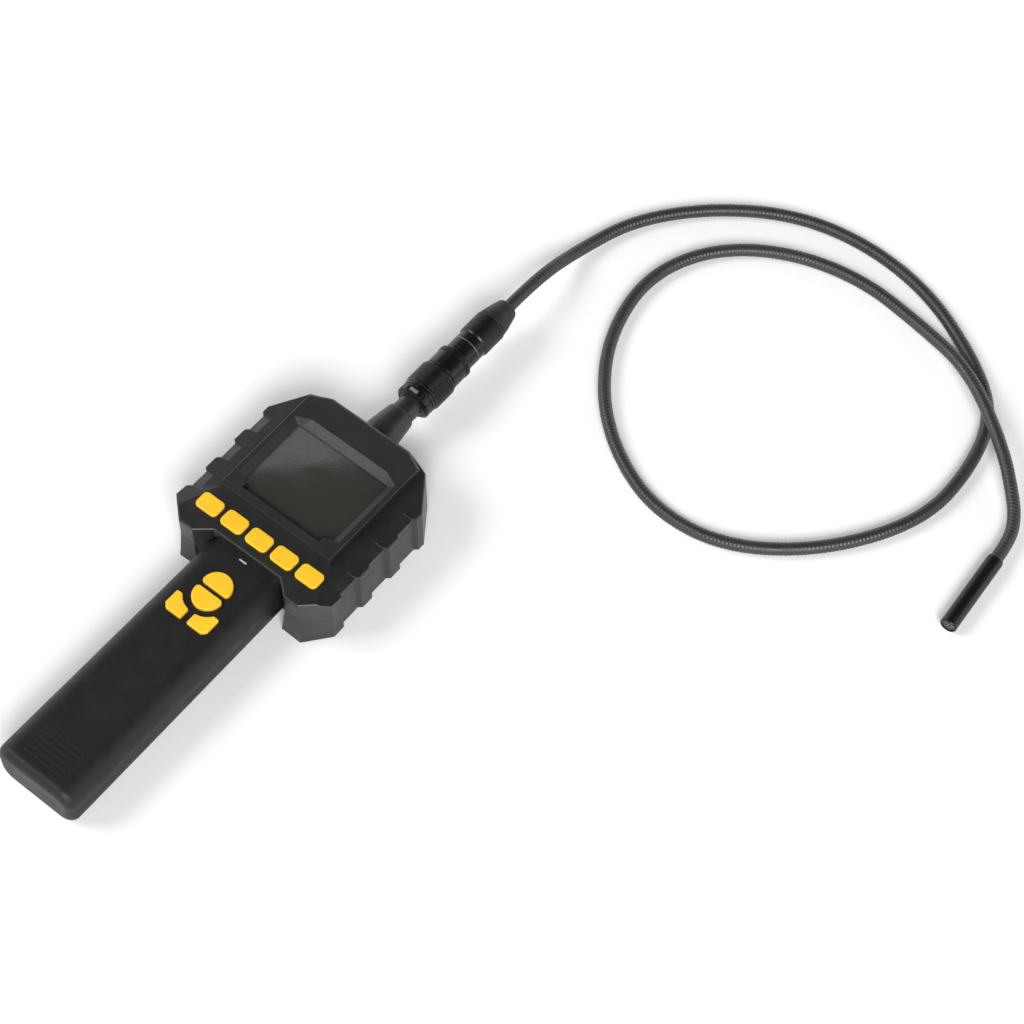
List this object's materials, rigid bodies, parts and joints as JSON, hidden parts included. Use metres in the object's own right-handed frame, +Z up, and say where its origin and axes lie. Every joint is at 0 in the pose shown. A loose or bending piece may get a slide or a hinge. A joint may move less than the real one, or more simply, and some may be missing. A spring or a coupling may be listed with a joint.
{
  "type": "inspection camera",
  "caption": "Handheld inspection camera with a square screen head, a row of keys, a battery handle and a gooseneck cable ending in a slim lit probe.",
  "frame": {"origin": "centre of the handset's footprint on its back, where the head's lower edge crosses the centre line", "axes": "+Z up out of the screen, +Y along the handset from the handle to the cable, +X to the right of the screen"},
  "size_m": [0.3403, 0.5215, 0.0365],
  "materials": {
    "housing": "fine moulded texture",
    "handle": "soft-touch moulded texture",
    "key": "smooth silicone",
    "glass": "clear, polished",
    "display": "dark screen film",
    "board": "solder mask",
    "component": "moulded",
    "screw_steel": "plated",
    "contact_steel": "nickel plated",
    "cell": "printed sleeve",
    "inner_plastic": "moulded",
    "contact_brass": "plated",
    "soft_rubber": "matte",
    "connector_black": "black anodised, satin",
    "connector_metal": "machined",
    "bright_ring": "polished",
    "cable": "corrugated sleeve, satin",
    "probe_dark": "black anodised, smooth",
    "reflector": "white solder mask",
    "light": "clear resin"
  },
  "bodies": {
    "handset": {"head_front_cover": "housing", "head_rear_cover": "housing", "screen_bezel": "housing", "screen_window": "glass", "display_module": "display", "main_board": "board", "board_components": "component", "board_screws": "screw_steel", "screen_key_board": "board", "screen_key_switches": "component", "head_screws": "screw_steel", "handle_front_cover": "handle", "handle_rear_cover": "handle", "handle_screws": "screw_steel", "indicator_light": "light", "handle_key_board": "board", "handle_key_switches": "component", "battery_tray": "inner_plastic", "battery_contacts": "contact_steel", "battery_springs": "contact_steel", "battery_1": "cell", "battery_2": "cell", "battery_3": "cell", "battery_4": "cell", "neck": "housing", "neck_seal": "soft_rubber", "socket_ring": "connector_black", "index_mark": "bright_ring", "socket_shell": "connector_metal", "socket_insert": "inner_plastic", "socket_contacts": "contact_brass"},
    "cable_and_probe": {"plug_body": "connector_black", "plug_insert": "inner_plastic", "plug_pins": "contact_brass", "retaining_ring": "connector_metal", "grip_sleeve": "connector_black", "strain_relief": "soft_rubber", "gooseneck_cable": "cable", "camera_ferrule": "probe_dark", "camera_housing": "probe_dark", "camera_tip_ring": "probe_dark", "lens_window": "glass", "lens_barrel": "probe_dark", "led_board": "reflector", "camera_leds": "light", "sensor_board": "board"},
    "coupling_nut": {"coupling_nut": "connector_black"},
    "battery_cover": {"battery_cover": "handle"},
    "screen_key_1": {"screen_key_1": "key"},
    "screen_key_2": {"screen_key_2": "key"},
    "screen_key_3": {"screen_key_3": "key"},
    "screen_key_4": {"screen_key_4": "key"},
    "screen_key_5": {"screen_key_5": "key"},
    "handle_upper_key": {"handle_upper_key": "key"},
    "handle_lower_key": {"handle_lower_key": "key"},
    "handle_left_key": {"handle_left_key": "key"},
    "handle_right_key": {"handle_right_key": "key"}
  },
  "joints": [
    {"name": "screen_key_1_press", "type": "slide", "parent": "handset", "child": "screen_key_1", "axis": [0, 0, -1], "range_m": [0, 0.001], "stiffness_N_per_m": 1500},
    {"name": "screen_key_2_press", "type": "slide", "parent": "handset", "child": "screen_key_2", "axis": [0, 0, -1], "range_m": [0, 0.001], "stiffness_N_per_m": 1500},
    {"name": "screen_key_3_press", "type": "slide", "parent": "handset", "child": "screen_key_3", "axis": [0, 0, -1], "range_m": [0, 0.001], "stiffness_N_per_m": 1500},
    {"name": "screen_key_4_press", "type": "slide", "parent": "handset", "child": "screen_key_4", "axis": [0, 0, -1], "range_m": [0, 0.001], "stiffness_N_per_m": 1500},
    {"name": "screen_key_5_press", "type": "slide", "parent": "handset", "child": "screen_key_5", "axis": [0, 0, -1], "range_m": [0, 0.001], "stiffness_N_per_m": 1500},
    {"name": "handle_upper_key_press", "type": "slide", "parent": "handset", "child": "handle_upper_key", "axis": [0, 0, -1], "range_m": [0, 0.001], "stiffness_N_per_m": 1500},
    {"name": "handle_lower_key_press", "type": "slide", "parent": "handset", "child": "handle_lower_key", "axis": [0, 0, -1], "range_m": [0, 0.001], "stiffness_N_per_m": 1500},
    {"name": "handle_left_key_press", "type": "slide", "parent": "handset", "child": "handle_left_key", "axis": [0, 0, -1], "range_m": [0, 0.001], "stiffness_N_per_m": 1500},
    {"name": "handle_right_key_press", "type": "slide", "parent": "handset", "child": "handle_right_key", "axis": [0, 0, -1], "range_m": [0, 0.001], "stiffness_N_per_m": 1500},
    {"name": "battery_cover_slide", "type": "slide", "parent": "handset", "child": "battery_cover", "axis": [0, -1, 0], "range_m": [0, 0.112]},
    {"name": "plug_pull", "type": "slide", "parent": "handset", "child": "cable_and_probe", "axis": [0, 1, 0], "range_m": [0, 0.02]},
    {"name": "coupling_nut_turn", "type": "hinge", "parent": "cable_and_probe", "child": "coupling_nut", "pos_m": [0, 0.147, 0.0186], "axis": [0, 1, 0], "range_deg": [0, 90]}
  ]
}
